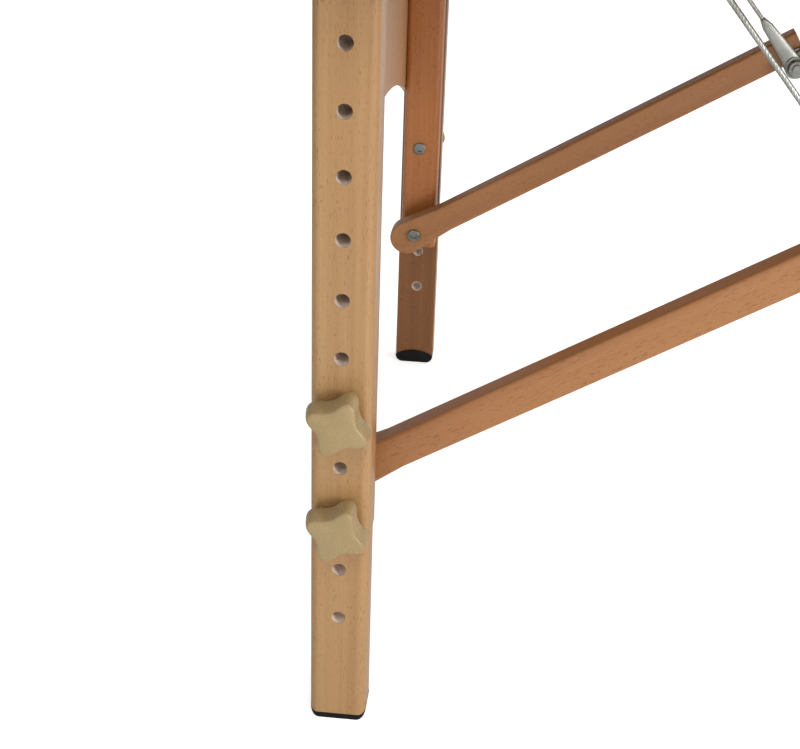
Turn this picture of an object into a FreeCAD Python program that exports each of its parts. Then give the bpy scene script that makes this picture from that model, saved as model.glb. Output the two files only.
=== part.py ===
import FreeCAD, Part
import math
import os

os.makedirs("parts", exist_ok=True)

V = FreeCAD.Vector

# Overall sizes, millimetres. X runs along the table, Y across it, Z up, origin on the floor
# under the centre. The A half lies at X < 0, the B half is its mirror image.
HALF_LEN = 930.0          # centre joint to outer face of the end rail
SIDE_IN = 310.0           # side rail, inner face
SIDE_OUT = 330.0          # side rail, outer face
RAIL_T = 20.0
RAIL_Z0 = 475.0
RAIL_Z1 = 575.0
DECK_T = 4.0
CUSHION_T = 60.0
CENTRE_GAP = 0.5          # each half stops this far short of the centre plane
HINGE_Z = 470.0

# Leg frame. Local x is measured from the hole line, local y inward from the outer leg's outer face.
LEG_X = 885.0
LEG_OUT = 270.0
PIVOT_Z = 540.0
LEG_W = 35.0
OUTER_T = 21.7
INNER_Y0 = 22.0
INNER_Y1 = 44.0
OUTER_Z0 = 4.0
OUTER_Z1 = 474.0
INNER_Z0 = 126.0
INNER_Z1 = 555.0
INNER_X0 = -14.5           # flush with the end panel that covers this side
INNER_X1 = 16.2
EDGE_R = 5.0              # outer leg, edges of the outer face
BACK_EDGE_R = 1.5         # outer leg, edges that rest on the inner leg
HOLE_R = 4.25
HOLE_PITCH = 35.0
HOLE_Z0 = 78.0
HOLES = 12
FOOT_R = 6.5
TONGUE_R = 30.6
TONGUE_T = 1.6
TONGUE_Z = 12.0
BOLT_R = 4.0
BOLT_ZS = (148.0, 218.0)
RUN = 0.05                # radial clearance of a running fit
GAP = 0.3                 # clear space between pieces that pass each other

# Braces, links and stays, in local x and z of the leg frame.
BRACE_DEG = 31.07
BRACE_Y0 = 55.5
BRACE_Y1 = 72.0
BRACE_H = 22.2
BRACE_LEN = 358.0
BRACE_NECK = 30.0
BRACE_END_X = 8.0
BRACE_END_R = 14.5
KNEE = (303.5, 316.0)
LINK_TOP = (488.9, 485.0)
STAY_TOP_Z = 536.0
STAY_SLOPE = (-0.650, 0.760)
PLATE_T = 2.3
LINK_T = 3.0
EYE_T = 3.6
CABLE_R = 1.6
FERRULE_L = 49.0
FERRULE_W = 13.0

ARCH_APEX = 311.5
ARCH_R = 640.0
PANEL_X0 = -17.5
PANEL_X1 = -14.5
PANEL_Y = 22.3
PANEL_Z1 = 500.0

SOCKET_R = 9.6
SOCKET_Y = 100.0
SOCKET_Z = 540.0
PIVOT_R = 5.0
KNOB_T = 20.0
KNOB_DEG = 66.0
KNOB_STUD = 12.0
KNOB_TIP = 20.0           # centre to lobe tip
KNOB_VALLEY = 14.4        # centre to the hollow between two lobes
HINGE_R = 4.6
HINGE_PIN_R = 2.4
HINGE_YS = (-210.0, 210.0)


def box(x0, x1, y0, y1, z0, z1):
    return Part.makeBox(x1 - x0, y1 - y0, z1 - z0, V(x0, y0, z0))


def rod(x, z, r, y0, y1):
    return Part.makeCylinder(r, y1 - y0, V(x, y0, z), V(0, 1, 0))


def hexagon(x, z, across, y0, y1):
    r = across / math.sqrt(3.0)
    pts = [V(x + r * math.cos(math.radians(60 * k)), y0, z + r * math.sin(math.radians(60 * k)))
           for k in range(7)]
    return Part.Face(Part.makePolygon(pts)).extrude(V(0, y1 - y0, 0))


def edges_along(shape, axis, test=None):
    picked = []
    for edge in shape.Edges:
        if edge.Curve.TypeId != "Part::GeomLine":
            continue
        d = edge.tangentAt(edge.FirstParameter)
        if abs(abs(d.dot(axis)) - 1.0) > 1e-6:
            continue
        if test is None or test(edge.CenterOfMass):
            picked.append(edge)
    return picked


def seat(shape):
    """Moves a shape from the leg frame at the front A corner to the table frame."""
    shape.translate(V(-LEG_X, -LEG_OUT, 0))
    return shape


def flip_y(shape):
    return shape.mirror(V(0, 0, 0), V(0, 1, 0))


def flip_x(shape):
    return shape.mirror(V(0, 0, 0), V(1, 0, 0))


def both(shape):
    return [shape, flip_y(shape)]


def write(name, solids):
    shape = solids[0] if len(solids) == 1 else Part.makeCompound(solids)
    shape.exportStep("parts/" + name + ".step")


def write_halves(name, solids):
    write(name + "_a", solids)
    write(name + "_b", [flip_x(s) for s in solids])


# Frame of one half

def side_rail():
    rail = box(-HALF_LEN, -CENTRE_GAP, -SIDE_OUT, -SIDE_IN, RAIL_Z0, RAIL_Z1)
    ends = edges_along(rail, V(0, 0, 1), lambda c: c.x < -HALF_LEN + 1 and c.y < -SIDE_OUT + 1)
    rail = rail.makeFillet(12.0, ends)
    low = edges_along(rail, V(1, 0, 0), lambda c: c.z < RAIL_Z0 + 1)
    return rail.makeFillet(2.5, low)


def end_rail():
    rail = box(-HALF_LEN, -HALF_LEN + RAIL_T, -SIDE_IN, SIDE_IN, RAIL_Z0, RAIL_Z1)
    rail = rail.makeFillet(2.5, edges_along(rail, V(0, 1, 0), lambda c: c.z < RAIL_Z0 + 1))
    for y in (-SOCKET_Y, SOCKET_Y):
        rail = rail.cut(Part.makeCylinder(SOCKET_R, 60, V(-HALF_LEN - 20, y, SOCKET_Z), V(1, 0, 0)))
    return rail


def centre_rail():
    rail = box(-CENTRE_GAP - RAIL_T, -CENTRE_GAP, -SIDE_IN, SIDE_IN, RAIL_Z0, RAIL_Z1)
    return rail.makeFillet(2.5, edges_along(rail, V(0, 1, 0), lambda c: c.z < RAIL_Z0 + 1 and c.x < -10))


def cushion():
    z0 = RAIL_Z1 + DECK_T
    pad = box(-HALF_LEN - 4, -CENTRE_GAP, -SIDE_OUT - 4, SIDE_OUT + 4, z0, z0 + CUSHION_T)
    corners = edges_along(pad, V(0, 0, 1), lambda c: c.x < -HALF_LEN)
    pad = pad.makeFillet(60.0, corners)
    top = [e for e in pad.Edges if e.CenterOfMass.z > z0 + CUSHION_T - 0.01]
    return pad.makeFillet(14.0, top)


def pivot_block():
    block = box(-25.0, 25.0, INNER_Y1 + 1.0, INNER_Y1 + 21.0, PIVOT_Z - 25.0, RAIL_Z1)
    low = edges_along(block, V(0, 1, 0), lambda c: c.z < PIVOT_Z)
    block = block.makeFillet(8.0, low)
    return block.cut(rod(0, PIVOT_Z, PIVOT_R, 0, 100))


def pivot_bolt():
    bolt = rod(0, PIVOT_Z, PIVOT_R, INNER_Y0 + 0.6, INNER_Y1 + 27.0)
    bolt = bolt.fuse(rod(0, PIVOT_Z, 9.0, INNER_Y0 + 0.6, INNER_Y0 + 3.0))
    bolt = bolt.fuse(hexagon(0, PIVOT_Z, 16.0, INNER_Y1 + 21.0, INNER_Y1 + 27.0))
    return bolt.removeSplitter()


# Legs

def inner_leg():
    leg = box(INNER_X0, INNER_X1, INNER_Y0, INNER_Y1, INNER_Z0, INNER_Z1)
    leg = leg.makeFillet(14.0, edges_along(leg, V(0, 1, 0), lambda c: c.z > PIVOT_Z))
    leg = leg.makeFillet(4.5, edges_along(leg, V(0, 0, 1), lambda c: c.y > INNER_Y1 - 1 and c.x > 0))
    leg = leg.cut(rod(0, PIVOT_Z, PIVOT_R + RUN, 0, 100))
    leg = leg.cut(rod(0, PIVOT_Z, 9.0 + GAP, 0, INNER_Y0 + 3.0 + GAP))
    for z in BOLT_ZS:
        leg = leg.cut(rod(0, z, BOLT_R, 0, 100))
    return leg


def leg_section(z0, z1):
    leg = box(-LEG_W / 2, LEG_W / 2, 0, OUTER_T, z0, z1)
    leg = leg.makeFillet(EDGE_R, edges_along(leg, V(0, 0, 1), lambda c: c.y < 1))
    return leg.makeFillet(BACK_EDGE_R, edges_along(leg, V(0, 0, 1), lambda c: c.y > OUTER_T - 1))


def outer_leg_blank():
    leg = leg_section(OUTER_Z0, OUTER_Z1)
    corners = box(-LEG_W / 2, LEG_W / 2, 0, OUTER_T, OUTER_Z0, OUTER_Z1)
    corners = corners.makeFillet(FOOT_R - 2.0, edges_along(corners, V(0, 1, 0), lambda c: c.z < OUTER_Z0 + 1))
    return leg.common(corners)


def outer_leg():
    leg = outer_leg_blank()
    for k in range(HOLES):
        leg = leg.cut(rod(0, HOLE_Z0 + k * HOLE_PITCH, HOLE_R, -10, 60))
    return leg


def rubber_foot():
    """A sole that rises round the leg's rounded corners, with an arched tongue on the inner face."""
    sole = leg_section(0, OUTER_Z0 + 5.0)
    corners = box(-LEG_W / 2, LEG_W / 2, 0, OUTER_T, 0, OUTER_Z0 + 5.0)
    corners = corners.makeFillet(FOOT_R, edges_along(corners, V(0, 1, 0), lambda c: c.z < 1))
    sole = sole.common(corners).cut(outer_leg_blank())
    tongue = Part.makeCylinder(TONGUE_R, TONGUE_T, V(0, OUTER_T, TONGUE_Z - TONGUE_R), V(0, 1, 0))
    plate = box(-LEG_W / 2, LEG_W / 2, OUTER_T, OUTER_T + TONGUE_T, 0.0, 30.0)
    plate = plate.makeFillet(FOOT_R, edges_along(plate, V(0, 1, 0), lambda c: c.z < 1))
    tongue = tongue.common(plate)
    heel = box(-LEG_W / 2 + FOOT_R, LEG_W / 2 - FOOT_R, OUTER_T - 1.0, OUTER_T + 0.5, 0.8, OUTER_Z0 - 0.5)
    return sole.fuse([tongue, heel]).removeSplitter()


def leg_bolt(z):
    lower = z < BOLT_ZS[1]
    head_y = BRACE_Y1 + 1.0 if lower else INNER_Y1
    bolt = rod(0, z, BOLT_R, -KNOB_STUD, head_y)
    head = rod(0, z, 5.3, head_y, head_y + 2.0)
    head = head.makeFillet(0.8, [e for e in head.Edges if e.CenterOfMass.y > head_y + 1.9])
    bolt = bolt.fuse(head).cut(hexagon(0, z, 5.0, head_y + 0.7, head_y + 5.0))
    if lower:
        bolt = bolt.fuse(rod(0, z, 9.0, INNER_Y1, BRACE_Y0 - 0.5))
    return bolt.removeSplitter()


def star_outline(scale, y, z):
    """Closed four-lobed outline round the bolt axis, at depth y."""
    pts = []
    for k in range(32):
        a = math.radians(360.0 * k / 32)
        lobe = (1 + math.cos(4 * (a - math.radians(KNOB_DEG)))) / 2
        r = scale * (KNOB_VALLEY + (KNOB_TIP - KNOB_VALLEY) * lobe ** 1.3)
        pts.append(V(r * math.cos(a), y, z + r * math.sin(a)))
    curve = Part.BSplineCurve()
    curve.interpolate(pts, PeriodicFlag=True)
    return Part.Wire(curve.toShape())


def knob(z):
    """Four-lobed star grip with a hub at the back. Its lobes swell and then round over to the front."""
    back = -GAP
    steps = ((0.80, -3.0), (0.96, -6.0), (1.0, -11.0), (0.93, -16.0), (0.74, -KNOB_T))
    star = Part.makeLoft([star_outline(s, back + y, z) for s, y in steps], True)
    hub = rod(0, z, 9.0, back - 4.5, back)
    return star.fuse(hub).removeSplitter().cut(rod(0, z, BOLT_R + RUN, back - KNOB_STUD - 1.0, 10))


def panel_blank():
    return box(PANEL_X0, PANEL_X1, PANEL_Y, 2 * LEG_OUT - PANEL_Y, 200.0, PANEL_Z1)


def end_panel():
    arch = Part.makeCylinder(ARCH_R, 20, V(PANEL_X0 - 8, LEG_OUT, ARCH_APEX - ARCH_R), V(1, 0, 0))
    return panel_blank().cut(arch)


# Braces, knee and stays

def along(distance, offset=0.0):
    c = math.cos(math.radians(BRACE_DEG))
    s = math.sin(math.radians(BRACE_DEG))
    return distance * c - offset * s, BOLT_ZS[0] + distance * s + offset * c


def turn(shape):
    shape.rotate(V(0, 0, BOLT_ZS[0]), V(0, -1, 0), BRACE_DEG)
    return shape


def brace():
    z = BOLT_ZS[0]
    bar = box(BRACE_NECK, BRACE_LEN, BRACE_Y0, BRACE_Y1, z - BRACE_H / 2, z + BRACE_H / 2)
    bar = bar.makeFillet(2.5, edges_along(bar, V(1, 0, 0)))
    end = taper((-BRACE_END_X, z), (BRACE_NECK, z), BRACE_END_R, BRACE_H / 2, BRACE_Y0, BRACE_Y1)
    end = end.makeFillet(2.4, [e for e in end.Edges if not is_across(e) and e.CenterOfMass.x < BRACE_NECK - 0.1])
    bar = bar.fuse(end).removeSplitter()
    return turn(bar.cut(rod(0, z, BOLT_R + RUN, 0, 100)))


def is_across(edge):
    if edge.Curve.TypeId != "Part::GeomLine":
        return False
    return abs(edge.tangentAt(edge.FirstParameter).y) > 0.99


def taper(p, q, r_p, r_q, y0, y1):
    """A flat piece from a round end at p, narrowing to a square end at q. Both lie at one height."""
    run = q[0] - p[0]
    lean = math.asin((r_p - r_q) / run)
    tip = (p[0] + r_p * math.sin(lean), r_p * math.cos(lean))
    pts = [V(tip[0], y0, p[1] + tip[1]), V(q[0], y0, q[1] + r_q), V(q[0], y0, q[1] - r_q),
           V(tip[0], y0, p[1] - tip[1])]
    arc = Part.Arc(pts[3], V(p[0] - r_p, y0, p[1]), pts[0]).toShape()
    lines = [Part.LineSegment(pts[k], pts[k + 1]).toShape() for k in range(3)]
    return Part.Face(Part.Wire(lines + [arc])).extrude(V(0, y1 - y0, 0))


def knee_plate():
    """Steel lug on the brace's inner side that carries the knee bolt below the bar."""
    x, z = KNEE
    plate = box(BRACE_LEN - 20.0, BRACE_LEN + 1.0, BRACE_Y1, BRACE_Y1 + PLATE_T,
                BOLT_ZS[0] - 23.0, BOLT_ZS[0] - 1.0)
    plate = turn(plate.makeFillet(6.0, edges_along(plate, V(0, 1, 0))))
    return plate.cut(rod(x, z, BOLT_R, 0, 100))


def knee_bolt():
    x, z = KNEE
    y = BRACE_Y1 + PLATE_T
    end = y + LINK_T + EYE_T + 3 * GAP
    bolt = rod(x, z, BOLT_R, y - PLATE_T, end)
    bolt = bolt.fuse(rod(x, z, 8.8, end, end + 1.4))
    nut = hexagon(x, z, 13.0, end + 1.4, end + 6.4)
    cone = Part.makeCone(7.2, 6.2, 5.0, V(x, end + 1.4, z), V(0, 1, 0))
    bolt = bolt.fuse(nut.common(cone)).fuse(rod(x, z, 3.6, end + 6.0, end + 8.4))
    return bolt.removeSplitter()


def flat_bar(p, q, r_p, r_q, y0, y1):
    """A flat bar between two points of the leg frame, with round ends."""
    dx = q[0] - p[0]
    dz = q[1] - p[1]
    run = math.hypot(dx, dz)
    ux = -dz / run
    uz = dx / run
    pts = [V(p[0] + r_p * ux, y0, p[1] + r_p * uz), V(q[0] + r_p * ux, y0, q[1] + r_p * uz),
           V(q[0] - r_p * ux, y0, q[1] - r_p * uz), V(p[0] - r_p * ux, y0, p[1] - r_p * uz)]
    bar = Part.Face(Part.makePolygon(pts + [pts[0]])).extrude(V(0, y1 - y0, 0))
    bar = bar.fuse(rod(p[0], p[1], r_p, y0, y1)).fuse(rod(q[0], q[1], r_q, y0, y1))
    return bar.removeSplitter()


def upper_link():
    y0 = BRACE_Y1 + PLATE_T + GAP
    y1 = y0 + LINK_T
    bar = flat_bar(KNEE, LINK_TOP, 8.0, 7.5, y0, y1)
    bar = bar.cut(rod(KNEE[0], KNEE[1], BOLT_R + RUN, 0, 200))
    return bar.cut(rod(LINK_TOP[0], LINK_TOP[1], BOLT_R + RUN, 0, 200))


def link_bracket():
    """Angle screwed under the deck. Its stub pin points at the link's upper eye."""
    x, z = LINK_TOP
    y0 = BRACE_Y1 + GAP
    y1 = BRACE_Y1 + PLATE_T
    web = box(x - 14.0, x + 14.0, y0, y1, z - 9.0, RAIL_Z1)
    web = web.makeFillet(8.0, edges_along(web, V(0, 1, 0), lambda c: c.z < z))
    foot = box(x - 14.0, x + 14.0, y0 - 22.0, y1, RAIL_Z1 - 3.0, RAIL_Z1)
    return web.fuse(foot).removeSplitter()


def stay_top():
    t = (STAY_TOP_Z - KNEE[1]) / STAY_SLOPE[1]
    return KNEE[0] + t * STAY_SLOPE[0], STAY_TOP_Z


def stay_end(eye, ux, uz, y0, y1):
    """Pressed flat end: round eye, long waist, short shoulder down to the wire."""
    outline = [(0.0, FERRULE_W / 2), (30.0, 5.0), (41.0, 4.2), (FERRULE_L, 1.9)]
    left = [V(eye[0] + t * ux - w * uz, y0, eye[1] + t * uz + w * ux) for t, w in outline]
    right = [V(eye[0] + t * ux + w * uz, y0, eye[1] + t * uz - w * ux) for t, w in reversed(outline)]
    pts = left + right + [left[0]]
    body = Part.Face(Part.makePolygon(pts)).extrude(V(0, y1 - y0, 0))
    body = body.fuse(rod(eye[0], eye[1], 8.0, y0, y1)).removeSplitter()
    return body.cut(rod(eye[0], eye[1], BOLT_R + RUN, 0, 200))


def stay_cable():
    y0 = BRACE_Y1 + PLATE_T + LINK_T + 2 * GAP
    y1 = y0 + EYE_T
    top = stay_top()
    run = math.hypot(top[0] - KNEE[0], top[1] - KNEE[1])
    ux = (top[0] - KNEE[0]) / run
    uz = (top[1] - KNEE[1]) / run
    foot = V(KNEE[0] + (FERRULE_L - 8.0) * ux, (y0 + y1) / 2, KNEE[1] + (FERRULE_L - 8.0) * uz)
    wire = Part.makeCylinder(CABLE_R, run - 2 * FERRULE_L + 16.0, foot, V(ux, 0, uz))
    ends = [stay_end(KNEE, ux, uz, y0, y1), stay_end(top, -ux, -uz, y0, y1)]
    return wire.fuse(ends).removeSplitter()


def stay_anchor():
    """Angle screwed under the deck with a stub for the cable's upper eye."""
    x, z = stay_top()
    y1 = BRACE_Y1 + PLATE_T + LINK_T + GAP
    web = box(x - 12.0, x + 12.0, y1 - 3.0, y1, z - 3.0, RAIL_Z1)
    web = web.makeFillet(3.0, edges_along(web, V(0, 1, 0), lambda c: c.z < z))
    foot = box(x - 12.0, x + 12.0, y1 - 3.0, y1 + 20.0, RAIL_Z1 - 3.0, RAIL_Z1)
    return web.fuse(foot).removeSplitter()


# Centre hinges

def hinge_leaf(index, y):
    """Leaf under the centre rail of the A half, knuckles by parity."""
    leaf = box(-26.0, -HINGE_R - 0.6, y - 35.0, y + 35.0, HINGE_Z + 3.0, RAIL_Z0)
    step = 70.0 / 5
    for k in range(index, 5, 2):
        y0 = y - 35.0 + k * step + 0.2
        y1 = y0 + step - 0.4
        barrel = Part.makeCylinder(HINGE_R, y1 - y0, V(0, y0, HINGE_Z), V(0, 1, 0))
        arm = box(-HINGE_R - 1.0, 0, y0, y1, HINGE_Z + 2.5, HINGE_Z + HINGE_R)
        leaf = leaf.fuse(barrel).fuse(arm)
    leaf = leaf.cut(Part.makeCylinder(HINGE_PIN_R + RUN, 90, V(0, y - 45, HINGE_Z), V(0, 1, 0)))
    return leaf.removeSplitter()


write_halves("side_rails", both(side_rail()))
write_halves("end_rail", [end_rail()])
write_halves("centre_rail", [centre_rail()])
write_halves("deck_panel", [box(-HALF_LEN, -CENTRE_GAP, -SIDE_OUT, SIDE_OUT, RAIL_Z1, RAIL_Z1 + DECK_T)])
write_halves("cushion", [cushion()])
write_halves("leg_pivot_blocks", both(seat(pivot_block())))
write_halves("leg_pivot_bolts", both(seat(pivot_bolt())))
write_halves("end_panel", [seat(end_panel())])
write_halves("leg_bolts", [s for z in BOLT_ZS for s in both(seat(leg_bolt(z)))])
write_halves("braces", both(seat(brace())))
write_halves("knee_plates", both(seat(knee_plate())))
write_halves("knee_bolts", both(seat(knee_bolt())))
write_halves("upper_links", both(seat(upper_link())))
write_halves("link_brackets", both(seat(link_bracket())))
write_halves("stay_cables", both(seat(stay_cable())))
write_halves("stay_anchors", both(seat(stay_anchor())))

for side, place in (("front", lambda s: s), ("back", flip_y)):
    write_halves("inner_leg_" + side, [place(seat(inner_leg()))])
    write_halves("outer_leg_" + side, [place(seat(outer_leg()))])
    write_halves("rubber_foot_" + side, [place(seat(rubber_foot()))])
    for level, z in zip(("lower", "upper"), BOLT_ZS):
        write_halves("knob_" + side + "_" + level, [place(seat(knob(z)))])

write("hinge_leaves_a", [hinge_leaf(0, y) for y in HINGE_YS])
write("hinge_leaves_b", [flip_x(hinge_leaf(1, y)) for y in HINGE_YS])
write("hinge_pins", [Part.makeCylinder(HINGE_PIN_R, 74, V(0, y - 37, HINGE_Z), V(0, 1, 0)) for y in HINGE_YS])
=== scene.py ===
import math

import bmesh
import bpy
from mathutils import Matrix, Vector


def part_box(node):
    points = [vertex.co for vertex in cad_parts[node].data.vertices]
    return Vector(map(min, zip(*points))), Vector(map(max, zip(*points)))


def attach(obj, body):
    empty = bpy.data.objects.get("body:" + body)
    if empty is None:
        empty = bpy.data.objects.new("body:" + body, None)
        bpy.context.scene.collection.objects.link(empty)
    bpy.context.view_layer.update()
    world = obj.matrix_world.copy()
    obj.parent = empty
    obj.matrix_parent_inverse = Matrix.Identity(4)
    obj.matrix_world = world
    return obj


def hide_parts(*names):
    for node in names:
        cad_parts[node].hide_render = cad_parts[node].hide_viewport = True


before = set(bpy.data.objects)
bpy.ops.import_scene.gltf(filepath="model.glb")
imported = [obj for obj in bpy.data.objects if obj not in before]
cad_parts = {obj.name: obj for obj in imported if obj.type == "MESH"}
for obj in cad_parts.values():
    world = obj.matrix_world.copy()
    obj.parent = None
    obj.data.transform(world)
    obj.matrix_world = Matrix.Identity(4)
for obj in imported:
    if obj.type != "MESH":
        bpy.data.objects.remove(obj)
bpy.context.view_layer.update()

# In metres: how far the legs stand from the middle, the lowest height hole and the holes' spacing, and the
# knee joint's distance from its leg and from the floor. BRACE_TILT is the braces' slope.
LEG_X = 0.885
HOLE_Z = 0.078
HOLE_STEP = 0.035
KNEE = (0.3035, 0.316)
BRACE_TILT = math.radians(31.07)


# Camera and light

CAMERA_SPOT = (-0.7912, -0.9668, 0.5982)
CAMERA_TURN = (-0.0875, 0.4662, -0.0331)
SENSOR_MM = 36.0
LENS_MM = 63.75


def place_camera():
    """Stands in front of the near leg and looks down on it; the turn is yaw, pitch and roll."""
    yaw, pitch, roll = CAMERA_TURN
    ahead = Vector((math.sin(yaw) * math.cos(pitch), math.cos(yaw) * math.cos(pitch), -math.sin(pitch)))
    side = Vector((math.cos(yaw), -math.sin(yaw), 0.0))
    down = ahead.cross(side)
    right = math.cos(roll) * side + math.sin(roll) * down
    low = -math.sin(roll) * side + math.cos(roll) * down
    lens = bpy.data.cameras.new("camera")
    lens.sensor_width = SENSOR_MM
    lens.lens = LENS_MM
    lens.clip_start = 0.02
    camera = bpy.data.objects.new("camera", lens)
    turn = Matrix((right, -low, -ahead)).transposed().to_4x4()
    camera.matrix_world = Matrix.Translation(CAMERA_SPOT) @ turn
    bpy.context.collection.objects.link(camera)
    bpy.context.scene.camera = camera


WHITE = (1.0, 1.0, 1.0)
SKY_LIGHT = 0.34
SKY_SEEN_EXTRA = 0.56

# Name, place, target, size, power and colour of each lamp.
LAMPS = (
    ("key", (-0.50, -1.45, 0.47), (-0.88, -0.2, 0.3), 0.35, 1.4, (1.0, 0.96, 0.90)),
    ("high_key", (-0.75, -1.25, 1.45), (-0.88, -0.2, 0.2), 0.55, 4.4, (1.0, 0.97, 0.92)),
    ("right_fill", (1.1, -1.5, 0.75), (-0.8, 0.0, 0.3), 0.7, 32.0, WHITE),
    ("front_fill", (-2.4, -2.4, 1.6), (0.0, 0.0, 0.4), 1.6, 10.0, WHITE),
    ("back_fill", (2.4, 2.6, 2.0), (0.0, 0.0, 0.4), 2.0, 26.0, WHITE),
    ("overhead", (0.0, 0.0, 3.2), (0.0, 0.0, 0.0), 2.5, 34.0, WHITE),
)


def area_light(name, spot, target, size, power, colour):
    lamp = bpy.data.lights.new(name, "AREA")
    lamp.shape = "DISK"
    lamp.size = size
    lamp.energy = power
    lamp.color = colour
    holder = bpy.data.objects.new(name, lamp)
    holder.location = spot
    holder.rotation_euler = (Vector(target) - Vector(spot)).to_track_quat("-Z", "Y").to_euler()
    bpy.context.collection.objects.link(holder)


def light_studio():
    """White surroundings, brighter where the camera sees them than in the light they give, and the lamps."""
    bpy.context.scene.view_settings.view_transform = "Standard"
    world = bpy.data.worlds.new("studio")
    world.use_nodes = True
    sky = world.node_tree.nodes["Background"]
    sky.inputs["Color"].default_value = (*WHITE, 1.0)
    seen = world.node_tree.nodes.new("ShaderNodeLightPath").outputs["Is Camera Ray"]
    level = world.node_tree.nodes.new("ShaderNodeMath")
    level.operation = "MULTIPLY_ADD"
    world.node_tree.links.new(seen, level.inputs[0])
    level.inputs[1].default_value = SKY_SEEN_EXTRA
    level.inputs[2].default_value = SKY_LIGHT
    world.node_tree.links.new(level.outputs[0], sky.inputs["Strength"])
    bpy.context.scene.world = world
    for lamp in LAMPS:
        area_light(*lamp)


# Shader helpers

class Graph:
    """A thin wrapper that adds and joins nodes of one tree."""

    def __init__(self, tree):
        self.tree = tree

    def add(self, kind, **values):
        node = self.tree.nodes.new(kind)
        for name, value in values.items():
            setattr(node, name, value)
        return node

    def feed(self, source, socket):
        if isinstance(source, bpy.types.NodeSocket):
            self.tree.links.new(source, socket)
        else:
            socket.default_value = source

    def math(self, operation, a, b=0.0, clamp=False):
        node = self.add("ShaderNodeMath", operation=operation, use_clamp=clamp)
        self.feed(a, node.inputs[0])
        self.feed(b, node.inputs[1])
        return node.outputs[0]

    def mix(self, factor, a, b, blend="MIX"):
        node = self.add("ShaderNodeMix", data_type="RGBA", blend_type=blend)
        self.feed(factor, node.inputs[0])
        self.feed(a, node.inputs[6])
        self.feed(b, node.inputs[7])
        return node.outputs[2]

    def noise(self, vector, scale=1.0, detail=2.0, rough=0.5, distort=0.0):
        node = self.add("ShaderNodeTexNoise")
        self.feed(vector, node.inputs["Vector"])
        self.feed(scale, node.inputs["Scale"])
        node.inputs["Detail"].default_value = detail
        node.inputs["Roughness"].default_value = rough
        node.inputs["Distortion"].default_value = distort
        return node.outputs["Fac"]

    def stretch(self, vector, scale, turn=(0.0, 0.0, 0.0), shift=(0.0, 0.0, 0.0)):
        node = self.add("ShaderNodeMapping")
        self.feed(vector, node.inputs["Vector"])
        node.inputs["Location"].default_value = shift
        node.inputs["Rotation"].default_value = turn
        node.inputs["Scale"].default_value = scale
        return node.outputs[0]

    def span(self, value, low, high, to_low=0.0, to_high=1.0, smooth=True):
        node = self.add("ShaderNodeMapRange", interpolation_type="SMOOTHSTEP" if smooth else "LINEAR")
        self.feed(value, node.inputs["Value"])
        node.inputs["From Min"].default_value = low
        node.inputs["From Max"].default_value = high
        node.inputs["To Min"].default_value = to_low
        node.inputs["To Max"].default_value = to_high
        return node.outputs[0]


def new_group(name, inputs, outputs):
    tree = bpy.data.node_groups.new(name, "ShaderNodeTree")
    for label, kind, value in inputs:
        socket = tree.interface.new_socket(label, in_out="INPUT", socket_type="NodeSocket" + kind)
        if value is not None:
            socket.default_value = value
    for label, kind in outputs:
        tree.interface.new_socket(label, in_out="OUTPUT", socket_type="NodeSocket" + kind)
    graph = Graph(tree)
    start = graph.add("NodeGroupInput")
    end = graph.add("NodeGroupOutput")
    return tree, graph, start.outputs, end.inputs


WARM_CLOUD = (0.50, 0.24, 0.11, 1.0)


def wood_group():
    """Beech: wide soft rings, fine fibres and short dark flecks, all running along Z."""
    tree, g, given, out = new_group(
        "beech_figure",
        [("Vector", "Vector", None),
         ("Pale", "Color", (0.6, 0.4, 0.25, 1)), ("Deep", "Color", (0.4, 0.25, 0.13, 1)),
         ("Fleck Amount", "Float", 0.5), ("Ring Amount", "Float", 0.6)],
        [("Color", "Color"), ("Height", "Float"), ("Sheen Mask", "Float")])
    vector = given["Vector"]
    sway = g.noise(g.stretch(vector, (9.0, 9.0, 1.6)), 1.0, 2.0)
    bent = g.add("ShaderNodeVectorMath", operation="MULTIPLY_ADD")
    g.feed(sway, bent.inputs[0])
    bent.inputs[1].default_value = (0.02, 0.014, 0.0)
    g.feed(vector, bent.inputs[2])
    rings = g.noise(g.stretch(bent.outputs[0], (150.0, 70.0, 2.2)), 1.0, 3.0, 0.55, 0.3)
    fibre = g.noise(g.stretch(vector, (900.0, 900.0, 14.0)), 1.0, 3.0, 0.6)
    fleck = g.noise(g.stretch(vector, (1900.0, 1900.0, 260.0)), 1.0, 1.0, 0.4)
    where = g.noise(g.stretch(vector, (60.0, 60.0, 18.0)), 1.0, 1.0)
    marks = g.math("MULTIPLY", g.span(fleck, 0.60, 0.72), g.span(where, 0.30, 0.60, 0.35, 1.0))
    tone = g.span(rings, 0.32, 0.70)
    tone = g.math("MULTIPLY", tone, given["Ring Amount"])
    tone = g.math("ADD", tone, g.span(fibre, 0.3, 0.75, -0.16, 0.20, False), True)
    colour = g.mix(tone, given["Pale"], given["Deep"])
    shade = g.math("MULTIPLY", marks, given["Fleck Amount"])
    colour = g.mix(shade, colour, given["Deep"], "MULTIPLY")
    cloud = g.noise(g.stretch(vector, (26.0, 26.0, 7.0)), 1.0, 2.0)
    colour = g.mix(g.span(cloud, 0.35, 0.7, 0.0, 0.10), colour, WARM_CLOUD)
    g.feed(colour, out["Color"])
    relief = g.math("MULTIPLY", fibre, 0.6)
    relief = g.math("SUBTRACT", relief, g.math("MULTIPLY", marks, 0.5))
    g.feed(relief, out["Height"])
    g.feed(g.math("ADD", marks, g.math("MULTIPLY", fibre, 0.5)), out["Sheen Mask"])
    return tree


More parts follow.
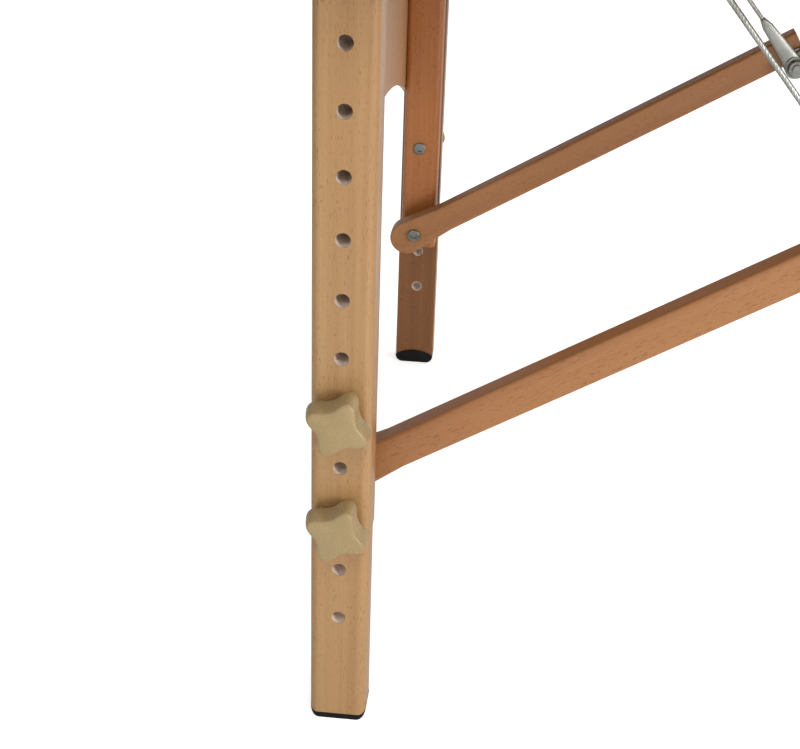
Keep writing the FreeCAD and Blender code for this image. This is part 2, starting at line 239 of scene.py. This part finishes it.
def speckle_group():
    """Small mottling for plastic, rubber and metal."""
    tree, g, given, out = new_group(
        "fine_mottle",
        [("Vector", "Vector", None), ("Size", "Float", 900.0), ("Patch Size", "Float", 40.0)],
        [("Grain", "Float"), ("Patch", "Float")])
    fine = g.noise(given["Vector"], given["Size"], 2.0, 0.6)
    wide = g.noise(given["Vector"], given["Patch Size"], 3.0, 0.55)
    g.feed(fine, out["Grain"])
    g.feed(wide, out["Patch"])
    return tree


# How far from the middle plane the holes' mask lies, its lowest height and the radii between which it fades.
BORE_DEPTHS = (0.2474, 0.2696)
BORE_LOWEST = 0.060
BORE_FADE = (0.0044, 0.0047)


def bore_group():
    """One inside the height holes, nought on the faces around them."""
    tree, g, given, out = new_group("bore_mask", [("Vector", "Vector", None)], [("Mask", "Float")])
    split = g.add("ShaderNodeSeparateXYZ")
    g.feed(given["Vector"], split.inputs[0])
    across = g.math("SUBTRACT", g.math("ABSOLUTE", split.outputs[0]), LEG_X)
    up = g.math("PINGPONG", g.math("SUBTRACT", split.outputs[2], HOLE_Z), HOLE_STEP / 2)
    away = g.math("SQRT", g.math("ADD", g.math("MULTIPLY", across, across), g.math("MULTIPLY", up, up)))
    depth = g.math("ABSOLUTE", split.outputs[1])
    near, far = BORE_DEPTHS
    inside = g.math("MULTIPLY", g.math("LESS_THAN", depth, far), g.math("GREATER_THAN", depth, near))
    inside = g.math("MULTIPLY", inside, g.math("GREATER_THAN", split.outputs[2], BORE_LOWEST))
    g.feed(g.math("MULTIPLY", g.span(away, *BORE_FADE, 1.0, 0.0), inside), out["Mask"])
    return tree


BEECH = wood_group()
BORE = bore_group()
MOTTLE = speckle_group()


def surface(name):
    material = bpy.data.materials.new(name)
    material.use_nodes = True
    graph = Graph(material.node_tree)
    shader = material.node_tree.nodes["Principled BSDF"]
    place = graph.add("ShaderNodeTexCoord").outputs["Object"]
    return material, graph, shader, place


def use_group(graph, group, vector, **values):
    node = graph.add("ShaderNodeGroup")
    node.node_tree = group
    graph.feed(vector, node.inputs["Vector"])
    for label, value in values.items():
        graph.feed(value, node.inputs[label.replace("_", " ")])
    return node.outputs


def relief(graph, shader, height, distance, strength=1.0):
    bump = graph.add("ShaderNodeBump")
    bump.inputs["Strength"].default_value = strength
    bump.inputs["Distance"].default_value = distance
    graph.feed(height, bump.inputs["Height"])
    graph.feed(bump.outputs[0], shader.inputs["Normal"])


# Pale grey for the height holes: painted light, brighter than the leg, where their insides would lie in
# shade.
BORE_PAINTED_LIGHT = (0.74, 0.63, 0.54, 1.0)
INNER_FACE_Y = 0.2490


def beech(name, turn, pale, deep, shift=(0.0, 0.0, 0.0), flecks=0.55, rings=0.6, bore_light=False, inner_shade_and_red=None):
    """Lacquered beech. The holes' flag paints the height holes a pale grey, painted light where their insides
    would be in shade; the inside tint darkens and reddens what lies within INNER_FACE_Y, painted shade of the
    faces towards the middle plane together with redder wood.
    """
    material, graph, shader, place = surface(name)
    vector = graph.stretch(place, (1.0, 1.0, 1.0), turn, shift)
    wood = use_group(graph, BEECH, vector, Pale=pale, Deep=deep, Fleck_Amount=flecks, Ring_Amount=rings)
    colour = wood["Color"]
    # Painted shade: wood nearer the middle plane than INNER_FACE_Y, on the faces that look in under the
    # table, is darkened; the added red is the wood's own.
    if inner_shade_and_red:
        split = graph.add("ShaderNodeSeparateXYZ")
        graph.feed(place, split.inputs[0])
        within = graph.math("LESS_THAN", graph.math("ABSOLUTE", split.outputs[1]), INNER_FACE_Y)
        colour = graph.mix(within, colour, graph.mix(0.85, colour, inner_shade_and_red, "MULTIPLY"))
    # Painted light: the insides of the height holes are painted pale grey instead of falling dark.
    if bore_light:
        colour = graph.mix(use_group(graph, BORE, place)["Mask"], colour, BORE_PAINTED_LIGHT)
    graph.feed(colour, shader.inputs["Base Color"])
    graph.feed(graph.span(wood["Sheen Mask"], 0.1, 1.2, 0.29, 0.52, False), shader.inputs["Roughness"])
    shader.inputs["Coat Weight"].default_value = 0.10
    shader.inputs["Coat Roughness"].default_value = 0.22
    relief(graph, shader, wood["Height"], 0.00012, 0.6)
    return material


# Radians for each metre of height: one pair of plies every 1.34 mm.
PLY_WAVE = 4700.0


def plywood(name):
    material, graph, shader, place = surface(name)
    wood = use_group(graph, BEECH, graph.stretch(place, (1.0, 1.0, 1.0), (0.0, math.pi / 2, 0.0)),
                     Pale=(0.66, 0.50, 0.32, 1), Deep=(0.42, 0.27, 0.15, 1),
                     Fleck_Amount=0.2, Ring_Amount=0.7)
    split = graph.add("ShaderNodeSeparateXYZ")
    graph.feed(place, split.inputs[0])
    layer = graph.math("SINE", graph.math("MULTIPLY", split.outputs[2], PLY_WAVE))
    stripe = graph.span(layer, -0.2, 0.3)
    colour = graph.mix(graph.math("MULTIPLY", stripe, 0.35), wood["Color"], (0.30, 0.17, 0.08, 1.0))
    graph.feed(colour, shader.inputs["Base Color"])
    shader.inputs["Roughness"].default_value = 0.62
    relief(graph, shader, wood["Height"], 0.0002, 0.6)
    return material


def knob_plastic(name):
    material, graph, shader, place = surface(name)
    skin = use_group(graph, MOTTLE, place, Size=1500.0, Patch_Size=60.0)
    colour = graph.mix(graph.span(skin["Patch"], 0.3, 0.7), (0.35, 0.252, 0.117, 1), (0.38, 0.278, 0.133, 1))
    graph.feed(colour, shader.inputs["Base Color"])
    graph.feed(graph.span(skin["Grain"], 0.3, 0.7, 0.24, 0.32, False), shader.inputs["Roughness"])
    shader.inputs["Subsurface Weight"].default_value = 0.06
    shader.inputs["Subsurface Radius"].default_value = (0.004, 0.003, 0.002)
    shader.inputs["Subsurface Scale"].default_value = 0.5
    relief(graph, shader, skin["Grain"], 0.00001, 0.3)
    return material


def rubber(name):
    material, graph, shader, place = surface(name)
    skin = use_group(graph, MOTTLE, place, Size=1800.0, Patch_Size=70.0)
    dust = graph.span(skin["Patch"], 0.45, 0.75)
    colour = graph.mix(dust, (0.004, 0.004, 0.004, 1), (0.010, 0.0095, 0.009, 1))
    graph.feed(colour, shader.inputs["Base Color"])
    graph.feed(graph.span(skin["Grain"], 0.3, 0.7, 0.50, 0.68, False), shader.inputs["Roughness"])
    shader.inputs["Specular IOR Level"].default_value = 0.25
    relief(graph, shader, skin["Grain"], 0.00008, 0.7)
    return material


def zinc_steel(name, tint, dark, smooth=0.28, rough=0.48):
    material, graph, shader, place = surface(name)
    skin = use_group(graph, MOTTLE, place, Size=700.0, Patch_Size=90.0)
    graph.feed(graph.mix(graph.span(skin["Patch"], 0.35, 0.65), tint, dark), shader.inputs["Base Color"])
    shader.inputs["Metallic"].default_value = 1.0
    graph.feed(graph.span(skin["Patch"], 0.3, 0.7, smooth, rough, False), shader.inputs["Roughness"])
    relief(graph, shader, skin["Grain"], 0.00004, 0.5)
    return material


def upholstery(name):
    material, graph, shader, place = surface(name)
    cell = graph.add("ShaderNodeTexVoronoi", feature="DISTANCE_TO_EDGE")
    graph.feed(place, cell.inputs["Vector"])
    cell.inputs["Scale"].default_value = 520.0
    cell.inputs["Randomness"].default_value = 0.9
    pebble = graph.span(cell.outputs["Distance"], 0.0, 0.28)
    skin = use_group(graph, MOTTLE, place, Size=140.0, Patch_Size=9.0)
    colour = graph.mix(graph.span(skin["Patch"], 0.3, 0.7), (0.60, 0.53, 0.42, 1), (0.66, 0.60, 0.49, 1))
    # Painted shade: the grooves between the pebbles of the grain are darkened.
    groove_shade = graph.math("MULTIPLY", graph.math("SUBTRACT", 1.0, pebble), 0.22)
    colour = graph.mix(groove_shade, colour, (0.42, 0.35, 0.26, 1))
    graph.feed(colour, shader.inputs["Base Color"])
    graph.feed(graph.span(pebble, 0.0, 1.0, 0.66, 0.52, False), shader.inputs["Roughness"])
    height = graph.math("ADD", pebble, graph.math("MULTIPLY", skin["Grain"], 0.8))
    relief(graph, shader, height, 0.00025, 0.55)
    return material


QUARTER_TURN = math.pi / 2
PALE = (0.44, 0.258, 0.110, 1.0)
DEEP = (0.33, 0.168, 0.060, 1.0)
RED_PALE = (0.46, 0.168, 0.040, 1.0)
RED_DEEP = (0.33, 0.105, 0.026, 1.0)
BRACE_PALE = (0.378, 0.168, 0.057, 1.0)
BRACE_DEEP = (0.31, 0.128, 0.045, 1.0)
RAIL_PALE = (0.54, 0.33, 0.165, 1.0)
# The outer legs' inside tint is painted shade on the faces towards the middle plane, with redder wood.
LEG_BEECH = beech("leg_beech", (0.0, 0.0, 0.0), PALE, DEEP, bore_light=True, inner_shade_and_red=(0.44, 0.25, 0.13, 1.0))
INNER_BEECH = beech("inner_leg_beech", (0.0, 0.0, 0.4), RED_PALE, RED_DEEP, (0.3, 0.1, 0.2), bore_light=True)
PANEL_BEECH = beech("panel_beech", (0.0, 0.0, 0.8), (0.57, 0.345, 0.180, 1), (0.44, 0.25, 0.12, 1),
                    (0.7, 0.4, 0.1), flecks=0.3, rings=0.4)
RAIL_BEECH = beech("rail_beech", (0.0, QUARTER_TURN, 0.0), RAIL_PALE, DEEP, (0.2, 0.5, 0.1))
CROSS_BEECH = beech("cross_beech", (QUARTER_TURN, 0.0, 0.0), RAIL_PALE, DEEP, (0.9, 0.2, 0.3))
BRACE_BEECH = {
    "a": beech("brace_beech_a", (0.0, BRACE_TILT - QUARTER_TURN, 0.0), BRACE_PALE, BRACE_DEEP,
               (0.4, 0.6, 0.5)),
    "b": beech("brace_beech_b", (0.0, QUARTER_TURN - BRACE_TILT, 0.0), BRACE_PALE, BRACE_DEEP,
               (0.1, 0.3, 0.8)),
}
PLY = plywood("deck_plywood")
KNOB = knob_plastic("cream_knob_plastic")
RUBBER = rubber("black_rubber")
ZINC = zinc_steel("zinc_plate", (0.32, 0.335, 0.31, 1), (0.17, 0.18, 0.165, 1))
ROPE = zinc_steel("galvanised_wire", (0.46, 0.475, 0.455, 1), (0.38, 0.395, 0.375, 1), 0.42, 0.52)
LEATHER = upholstery("cream_upholstery")

# Finish of each CAD node, by its name without the half's letter.
FINISHES = {
    "side_rails": RAIL_BEECH, "leg_pivot_blocks": RAIL_BEECH,
    "end_rail": CROSS_BEECH, "centre_rail": CROSS_BEECH,
    "inner_leg_front": INNER_BEECH, "inner_leg_back": INNER_BEECH,
    "outer_leg_front": LEG_BEECH, "outer_leg_back": LEG_BEECH,
    "end_panel": PANEL_BEECH, "deck_panel": PLY, "cushion": LEATHER, "stay_cables": ROPE,
    "rubber_foot_front": RUBBER, "rubber_foot_back": RUBBER,
    "leg_pivot_bolts": ZINC, "link_brackets": ZINC, "stay_anchors": ZINC, "hinge_leaves": ZINC,
    "leg_bolts": ZINC, "knee_plates": ZINC, "knee_bolts": ZINC, "upper_links": ZINC,
}


def finish_cad_nodes():
    for name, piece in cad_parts.items():
        if name.startswith("knob"):
            finish = KNOB
        elif name.startswith("braces"):
            finish = BRACE_BEECH[name[-1]]
        elif name == "hinge_pins":
            finish = ZINC
        else:
            finish = FINISHES[name[:-2]]
        piece.data.materials.clear()
        piece.data.materials.append(finish)


# New pieces

def new_piece(name, bm, body, nodes, finish):
    """Makes a smooth piece that rides on a body and stands for the CAD nodes named."""
    bmesh.ops.recalc_face_normals(bm, faces=bm.faces)
    mesh = bpy.data.meshes.new(name)
    bm.to_mesh(mesh)
    bm.free()
    for face in mesh.polygons:
        face.use_smooth = True
    mesh.materials.append(finish)
    piece = bpy.data.objects.new(name, mesh)
    bpy.context.collection.objects.link(piece)
    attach(piece, body)
    if nodes:
        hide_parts(*nodes)
    return piece


def add_subdivision(piece, levels):
    smoother = piece.modifiers.new("subdivision", "SUBSURF")
    smoother.levels = levels
    smoother.render_levels = levels


def grow_rim(bm, rim, scale, offset):
    """Extrudes an open edge loop, then scales it about the Z axis and moves it."""
    grown = bmesh.ops.extrude_edge_only(bm, edges=rim)["geom"]
    points = [g for g in grown if isinstance(g, bmesh.types.BMVert)]
    bmesh.ops.scale(bm, verts=points, vec=scale)
    bmesh.ops.translate(bm, verts=points, vec=offset)
    return [g for g in grown if isinstance(g, bmesh.types.BMEdge)], points


# Each ring of the grip after the first: distance from the leg, and size as a share of the full outline.
KNOB_PROFILE = (
    (0.0030, 0.84), (0.0034, 0.93), (0.0055, 0.985), (0.0080, 1.000), (0.0120, 0.985), (0.0165, 0.945),
    (0.0182, 0.925), (0.0192, 0.895), (0.01965, 0.84), (0.0199, 0.70), (0.0201, 0.45), (0.0202, 0.22))
KNOB_START = (0.0030, 0.62)
KNOB_HOLLOW_R = 0.0130
KNOB_LOBE = 0.0070
KNOB_TURN = math.radians(66.0)
HUB_RADII = (0.0088, 0.0094)
HUB_DEPTH = 0.0030
HUB_MIDDLE = 0.0017
Z_TO_MINUS_Y = Matrix(((1, 0, 0, 0), (0, 0, -1, 0), (0, 1, 0, 0), (0, 0, 0, 1)))


def star_knob(name, body):
    """Four-lobed grip: swelling walls, a soft rim and a nearly flat front, on a round hub."""
    low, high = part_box(name)
    front = name.split("_")[1] == "front"
    bm = bmesh.new()
    rim = bmesh.ops.create_circle(bm, cap_ends=False, segments=64, radius=1.0)["verts"]
    for point in rim:
        angle = math.atan2(point.co.y, point.co.x)
        lobe = (1.0 + math.cos(4.0 * (angle - KNOB_TURN))) / 2.0
        radius = KNOB_HOLLOW_R + KNOB_LOBE * lobe ** 1.5
        point.co = (radius * math.cos(angle), radius * math.sin(angle), 0.0)
    edges = list(bm.edges)
    depth, size = KNOB_START
    bmesh.ops.scale(bm, verts=rim, vec=(size, size, 1.0))
    bmesh.ops.translate(bm, verts=rim, vec=(0.0, 0.0, depth))
    for next_depth, next_size in KNOB_PROFILE:
        ratio = next_size / size
        edges, rim = grow_rim(bm, edges, (ratio, ratio, 1.0), (0.0, 0.0, next_depth - depth))
        depth, size = next_depth, next_size
    bmesh.ops.contextual_create(bm, geom=edges)
    back = [e for e in bm.edges if e.is_boundary]
    bmesh.ops.contextual_create(bm, geom=back)
    hub = bmesh.ops.create_cone(bm, cap_ends=True, segments=40, radius1=HUB_RADII[0], radius2=HUB_RADII[1],
                                depth=HUB_DEPTH)
    bmesh.ops.translate(bm, verts=hub["verts"], vec=(0.0, 0.0, HUB_MIDDLE))
    bmesh.ops.transform(bm, matrix=Z_TO_MINUS_Y, verts=bm.verts)
    if not front:
        bmesh.ops.scale(bm, verts=bm.verts, vec=(1.0, -1.0, 1.0))
    wall = high[1] if front else low[1]
    bmesh.ops.translate(bm, verts=bm.verts, vec=((low[0] + high[0]) / 2, wall, (low[2] + high[2]) / 2))
    piece = new_piece(name + "_grip", bm, body, [name], KNOB)
    add_subdivision(piece, 1)


def copied_mesh(name):
    """A merged copy of a CAD node's mesh as a free object."""
    bm = bmesh.new()
    bm.from_mesh(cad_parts[name].data)
    bmesh.ops.remove_doubles(bm, verts=bm.verts, dist=1e-6)
    mesh = bpy.data.meshes.new(name + "_copy")
    bm.to_mesh(mesh)
    bm.free()
    copy = bpy.data.objects.new(name + "_copy", mesh)
    bpy.context.collection.objects.link(copy)
    return copy


def settled_mesh(holder):
    """The object's mesh with its modifiers worked in."""
    bpy.context.view_layer.update()
    return bpy.data.meshes.new_from_object(holder.evaluated_get(bpy.context.evaluated_depsgraph_get()))


# The pad's furthest swelling, the height below which it is glued down and its edge beside the fold.
PAD_CAP = 0.011
PAD_BASE = 0.5835
PAD_FOLD_X = -0.0012
PAD_PRESSURE = 4.0
CLOTH_FRAMES = 20


def swell(holder):
    """Blows the pad up a little about its glued base, and limits how far each point may go."""
    start = [v.co.copy() for v in holder.data.vertices]
    pins = holder.vertex_groups.new(name="base")
    pins.add([k for k, co in enumerate(start) if co.z < PAD_BASE], 1.0, "REPLACE")
    cloth = holder.modifiers.new("cloth", "CLOTH")
    cloth.settings.use_pressure = True
    cloth.settings.uniform_pressure_force = PAD_PRESSURE
    cloth.settings.vertex_group_mass = "base"
    cloth.settings.effector_weights.gravity = 0.0
    scene = bpy.context.scene
    for moment in range(1, CLOTH_FRAMES + 1):
        scene.frame_set(moment)
    blown = settled_mesh(holder)
    scene.frame_set(1)
    holder.modifiers.remove(cloth)
    for vert, before, after in zip(holder.data.vertices, start, blown.vertices):
        step = after.co - before
        if step.length > 1e-7:
            step *= PAD_CAP * math.tanh(step.length / PAD_CAP) / step.length
        vert.co = before + step
        vert.co.x = min(vert.co.x, PAD_FOLD_X)
    bpy.data.meshes.remove(blown)


# Before it swells the pad is cut back by PAD_EDGE at its end and sides and by PAD_SHORTER in all its length,
# is lifted by PAD_LIFT and keeps PAD_HEIGHT_KEPT of its height.
PAD_EDGE = 0.006
PAD_SHORTER = 0.0085
PAD_LIFT = 0.0002
PAD_HEIGHT_KEPT = 0.90
PAD_VOXEL = 0.0085


def shaped_pad():
    """Mesh of the A half's pad: smaller than its CAD shape, then remeshed and swollen."""
    holder = copied_mesh("cushion_a")
    low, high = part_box("cushion_a")
    length = high[0] - low[0]
    for vert in holder.data.vertices:
        vert.co.x = low[0] + PAD_EDGE + (vert.co.x - low[0]) * (length - PAD_SHORTER) / length
        vert.co.y *= 1.0 - PAD_EDGE / high[1]
        vert.co.z = low[2] + PAD_LIFT + (vert.co.z - low[2]) * PAD_HEIGHT_KEPT
    remesh = holder.modifiers.new("remesh", "REMESH")
    remesh.mode = "VOXEL"
    remesh.voxel_size = PAD_VOXEL
    remesh.use_smooth_shade = True
    even = settled_mesh(holder)
    holder.modifiers.clear()
    holder.data = even
    swell(holder)
    mesh = holder.data
    bpy.data.objects.remove(holder)
    return mesh


SEAM_Z = 0.6115
PIPING_R = 0.0021


def seam_path(mesh, height):
    """Every second point round the pad's side at one height, lying on its surface."""
    bm = bmesh.new()
    bm.from_mesh(mesh)
    whole = bm.verts[:] + bm.edges[:] + bm.faces[:]
    cut = bmesh.ops.bisect_plane(bm, geom=whole, plane_co=(0, 0, height), plane_no=(0, 0, 1))
    line = [g for g in cut["geom_cut"] if isinstance(g, bmesh.types.BMEdge)]
    links = {}
    for edge in line:
        for here, there in ((edge.verts[0], edge.verts[1]), (edge.verts[1], edge.verts[0])):
            links.setdefault(here, []).append(there)
    first = next(iter(links))
    path, before, here = [first.co.copy()], None, first
    while True:
        ahead = [v for v in links[here] if v is not before]
        if not ahead or ahead[0] is first:
            break
        before, here = here, ahead[0]
        path.append(here.co.copy())
    bm.free()
    return path[::2]


def piping_mesh(path):
    """Round piping along the closed path."""
    line = bpy.data.curves.new("pad_piping", "CURVE")
    line.dimensions = "3D"
    line.bevel_depth = PIPING_R
    line.bevel_resolution = 3
    spline = line.splines.new("NURBS")
    spline.points.add(len(path) - 1)
    for point, co in zip(spline.points, path):
        point.co = (co.x, co.y, co.z, 1.0)
    spline.order_u = 3
    spline.use_cyclic_u = True
    spline.resolution_u = 2
    shape = bpy.data.objects.new("pad_piping_line", line)
    bpy.context.collection.objects.link(shape)
    piping = settled_mesh(shape)
    bpy.data.objects.remove(shape)
    return piping


def pad_and_piping():
    """The pad and its piping, made once for the A half and mirrored for the B half."""
    base = shaped_pad()
    piping = piping_mesh(seam_path(base, SEAM_Z))
    for side, turned in (("a", False), ("b", True)):
        pad = ("pad_" + side, base, ["cushion_" + side])
        edging = ("pad_piping_" + side, piping, [])
        for name, source, covers in (pad, edging):
            bm = bmesh.new()
            bm.from_mesh(source)
            if turned:
                bmesh.ops.scale(bm, verts=bm.verts, vec=(-1.0, 1.0, 1.0))
            piece = new_piece(name, bm, "half_" + side, covers, LEATHER)
            if covers:
                add_subdivision(piece, 1)


# Height of a stay's upper eye, and how far its line runs inwards and upwards.
STAY_TOP_Z = 0.536
STAY_SLOPE = (0.650, 0.760)


def stay_points(side):
    """Knee eye and upper eye of a stay at rest, in the middle plane."""
    sign = -1.0 if side == "a" else 1.0
    reach = (STAY_TOP_Z - KNEE[1]) / STAY_SLOPE[1]
    knee = Vector((sign * (LEG_X - KNEE[0]), 0.0, KNEE[1]))
    top = Vector((sign * (LEG_X - KNEE[0] + STAY_SLOPE[0] * reach), 0.0, STAY_TOP_Z))
    return knee, top


# Distance from the eye, half width and half thickness of each ring of the sleeve, from the rope to the eye.
SLEEVE = ((0.0492, 0.0016, 0.0016), (0.0490, 0.0019, 0.0019), (0.0455, 0.0030, 0.0019),
          (0.0410, 0.0042, 0.0018), (0.0300, 0.0050, 0.0018), (0.0120, 0.0062, 0.0018),
          (0.0060, 0.0068, 0.0017), (0.0000, 0.0066, 0.0017))
EYE_R = 0.0080
EYE_THICK = 0.0034
EYE_LIP = 0.0006
EYE_TO_FACE = 0.0018
ROPE_R = 0.0017
ROPE_STEP = 0.0014
ROPE_LAY = 0.017
ROPE_START = 0.040


def sleeve_end(bm, length, turned):
    """Pressed sleeve: oval at the rope, flat and wider at the eye. It points along +Z from the eye at 0."""
    made = bmesh.ops.create_circle(bm, cap_ends=False, segments=28, radius=1.0)["verts"]
    edges = list({e for v in made for e in v.link_edges})
    height, wide, thick = SLEEVE[0]
    bmesh.ops.scale(bm, verts=made, vec=(wide, thick, 1.0))
    bmesh.ops.translate(bm, verts=made, vec=(0.0, 0.0, height))
    every = list(made)
    for next_height, next_wide, next_thick in SLEEVE[1:]:
        growth = (next_wide / wide, next_thick / thick, 1.0)
        edges, ring = grow_rim(bm, edges, growth, (0.0, 0.0, next_height - height))
        every += ring
        height, wide, thick = next_height, next_wide, next_thick
    bmesh.ops.contextual_create(bm, geom=edges)
    eye = bmesh.ops.create_cone(bm, cap_ends=True, segments=40, radius1=EYE_R, radius2=EYE_R, depth=EYE_THICK)
    outer = list({e for v in eye["verts"] for e in v.link_edges if not e.is_boundary})
    rims = [e for e in outer if abs(e.verts[0].co.z - e.verts[1].co.z) < 1e-6]
    lip = bmesh.ops.bevel(bm, geom=rims, offset=EYE_LIP, offset_type="OFFSET", segments=2, profile=0.5,
                          affect="EDGES", material=-1, clamp_overlap=True)
    points = list({v for f in lip["faces"] for v in f.verts} | {v for v in eye["verts"] if v.is_valid})
    bmesh.ops.rotate(bm, verts=points, cent=(0, 0, 0), matrix=Matrix.Rotation(math.pi / 2, 3, "X"))
    every += points
    if turned:
        bmesh.ops.rotate(bm, verts=every, cent=(0, 0, 0), matrix=Matrix.Rotation(math.pi, 3, "X"))
        bmesh.ops.translate(bm, verts=every, vec=(0.0, 0.0, length))


def wire_rope(bm, start, stop):
    """Rope along +Z with six outer strands: a scalloped section that turns as it is drawn out."""
    strand = bmesh.ops.create_circle(bm, cap_ends=True, segments=30, radius=ROPE_R)["verts"]
    for point in strand:
        angle = math.atan2(point.co.y, point.co.x)
        point.co *= 0.90 + 0.10 * abs(math.cos(3.0 * angle)) ** 0.6
    bmesh.ops.translate(bm, verts=strand, vec=(0.0, 0.0, start))
    edges = list({e for v in strand for e in v.link_edges})
    steps = int((stop - start) / ROPE_STEP)
    rise = (stop - start) / steps
    lay = Matrix.Rotation(2.0 * math.pi * rise / ROPE_LAY, 3, "Z")
    for step in range(steps):
        edges, ring = grow_rim(bm, edges, (1.0, 1.0, 1.0), (0.0, 0.0, rise))
        bmesh.ops.rotate(bm, verts=ring, cent=(0, 0, 0), matrix=lay)
    bmesh.ops.contextual_create(bm, geom=edges)


def stay_ropes(side):
    """Both stays of one half, front and back, as one piece."""
    knee, top = stay_points(side)
    along = (top - knee).normalized()
    across = Vector((0.0, 1.0, 0.0)).cross(along)
    lean = Matrix((across, (0.0, 1.0, 0.0), along)).transposed().to_4x4()
    length = (top - knee).length
    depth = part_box("stay_cables_" + side)[1][1] - EYE_TO_FACE
    made = bmesh.new()
    for place in (-depth, depth):
        bm = bmesh.new()
        sleeve_end(bm, length, False)
        sleeve_end(bm, length, True)
        wire_rope(bm, ROPE_START, length - ROPE_START)
        bmesh.ops.transform(bm, matrix=Matrix.Translation((knee.x, place, knee.z)) @ lean, verts=bm.verts)
        part = bpy.data.meshes.new("stay_part")
        bm.to_mesh(part)
        bm.free()
        made.from_mesh(part)
        bpy.data.meshes.remove(part)
    new_piece("stay_ropes_" + side, made, "stays_" + side, ["stay_cables_" + side], ROPE)


FLOOR_SIZE = 200.0
FLOOR_GLOW = 0.62


def lay_floor():
    """A pale matt floor that glows a little where the camera sees it."""
    bm = bmesh.new()
    bmesh.ops.create_grid(bm, x_segments=1, y_segments=1, size=FLOOR_SIZE)
    mesh = bpy.data.meshes.new("floor")
    bm.to_mesh(mesh)
    bm.free()
    floor = bpy.data.objects.new("floor", mesh)
    bpy.context.collection.objects.link(floor)
    material, graph, shader, _ = surface("studio_floor")
    shader.inputs["Base Color"].default_value = (0.90, 0.90, 0.90, 1.0)
    shader.inputs["Roughness"].default_value = 1.0
    shader.inputs["Specular IOR Level"].default_value = 0.0
    shader.inputs["Emission Color"].default_value = (1.0, 1.0, 1.0, 1.0)
    seen = graph.add("ShaderNodeLightPath").outputs["Is Camera Ray"]
    graph.feed(graph.math("MULTIPLY", seen, FLOOR_GLOW), shader.inputs["Emission Strength"])
    mesh.materials.append(material)


place_camera()
light_studio()
lay_floor()
finish_cad_nodes()
for knob_name in [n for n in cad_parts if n.startswith("knob")]:
    star_knob(knob_name, knob_name)
for half in "ab":
    stay_ropes(half)
pad_and_piping()
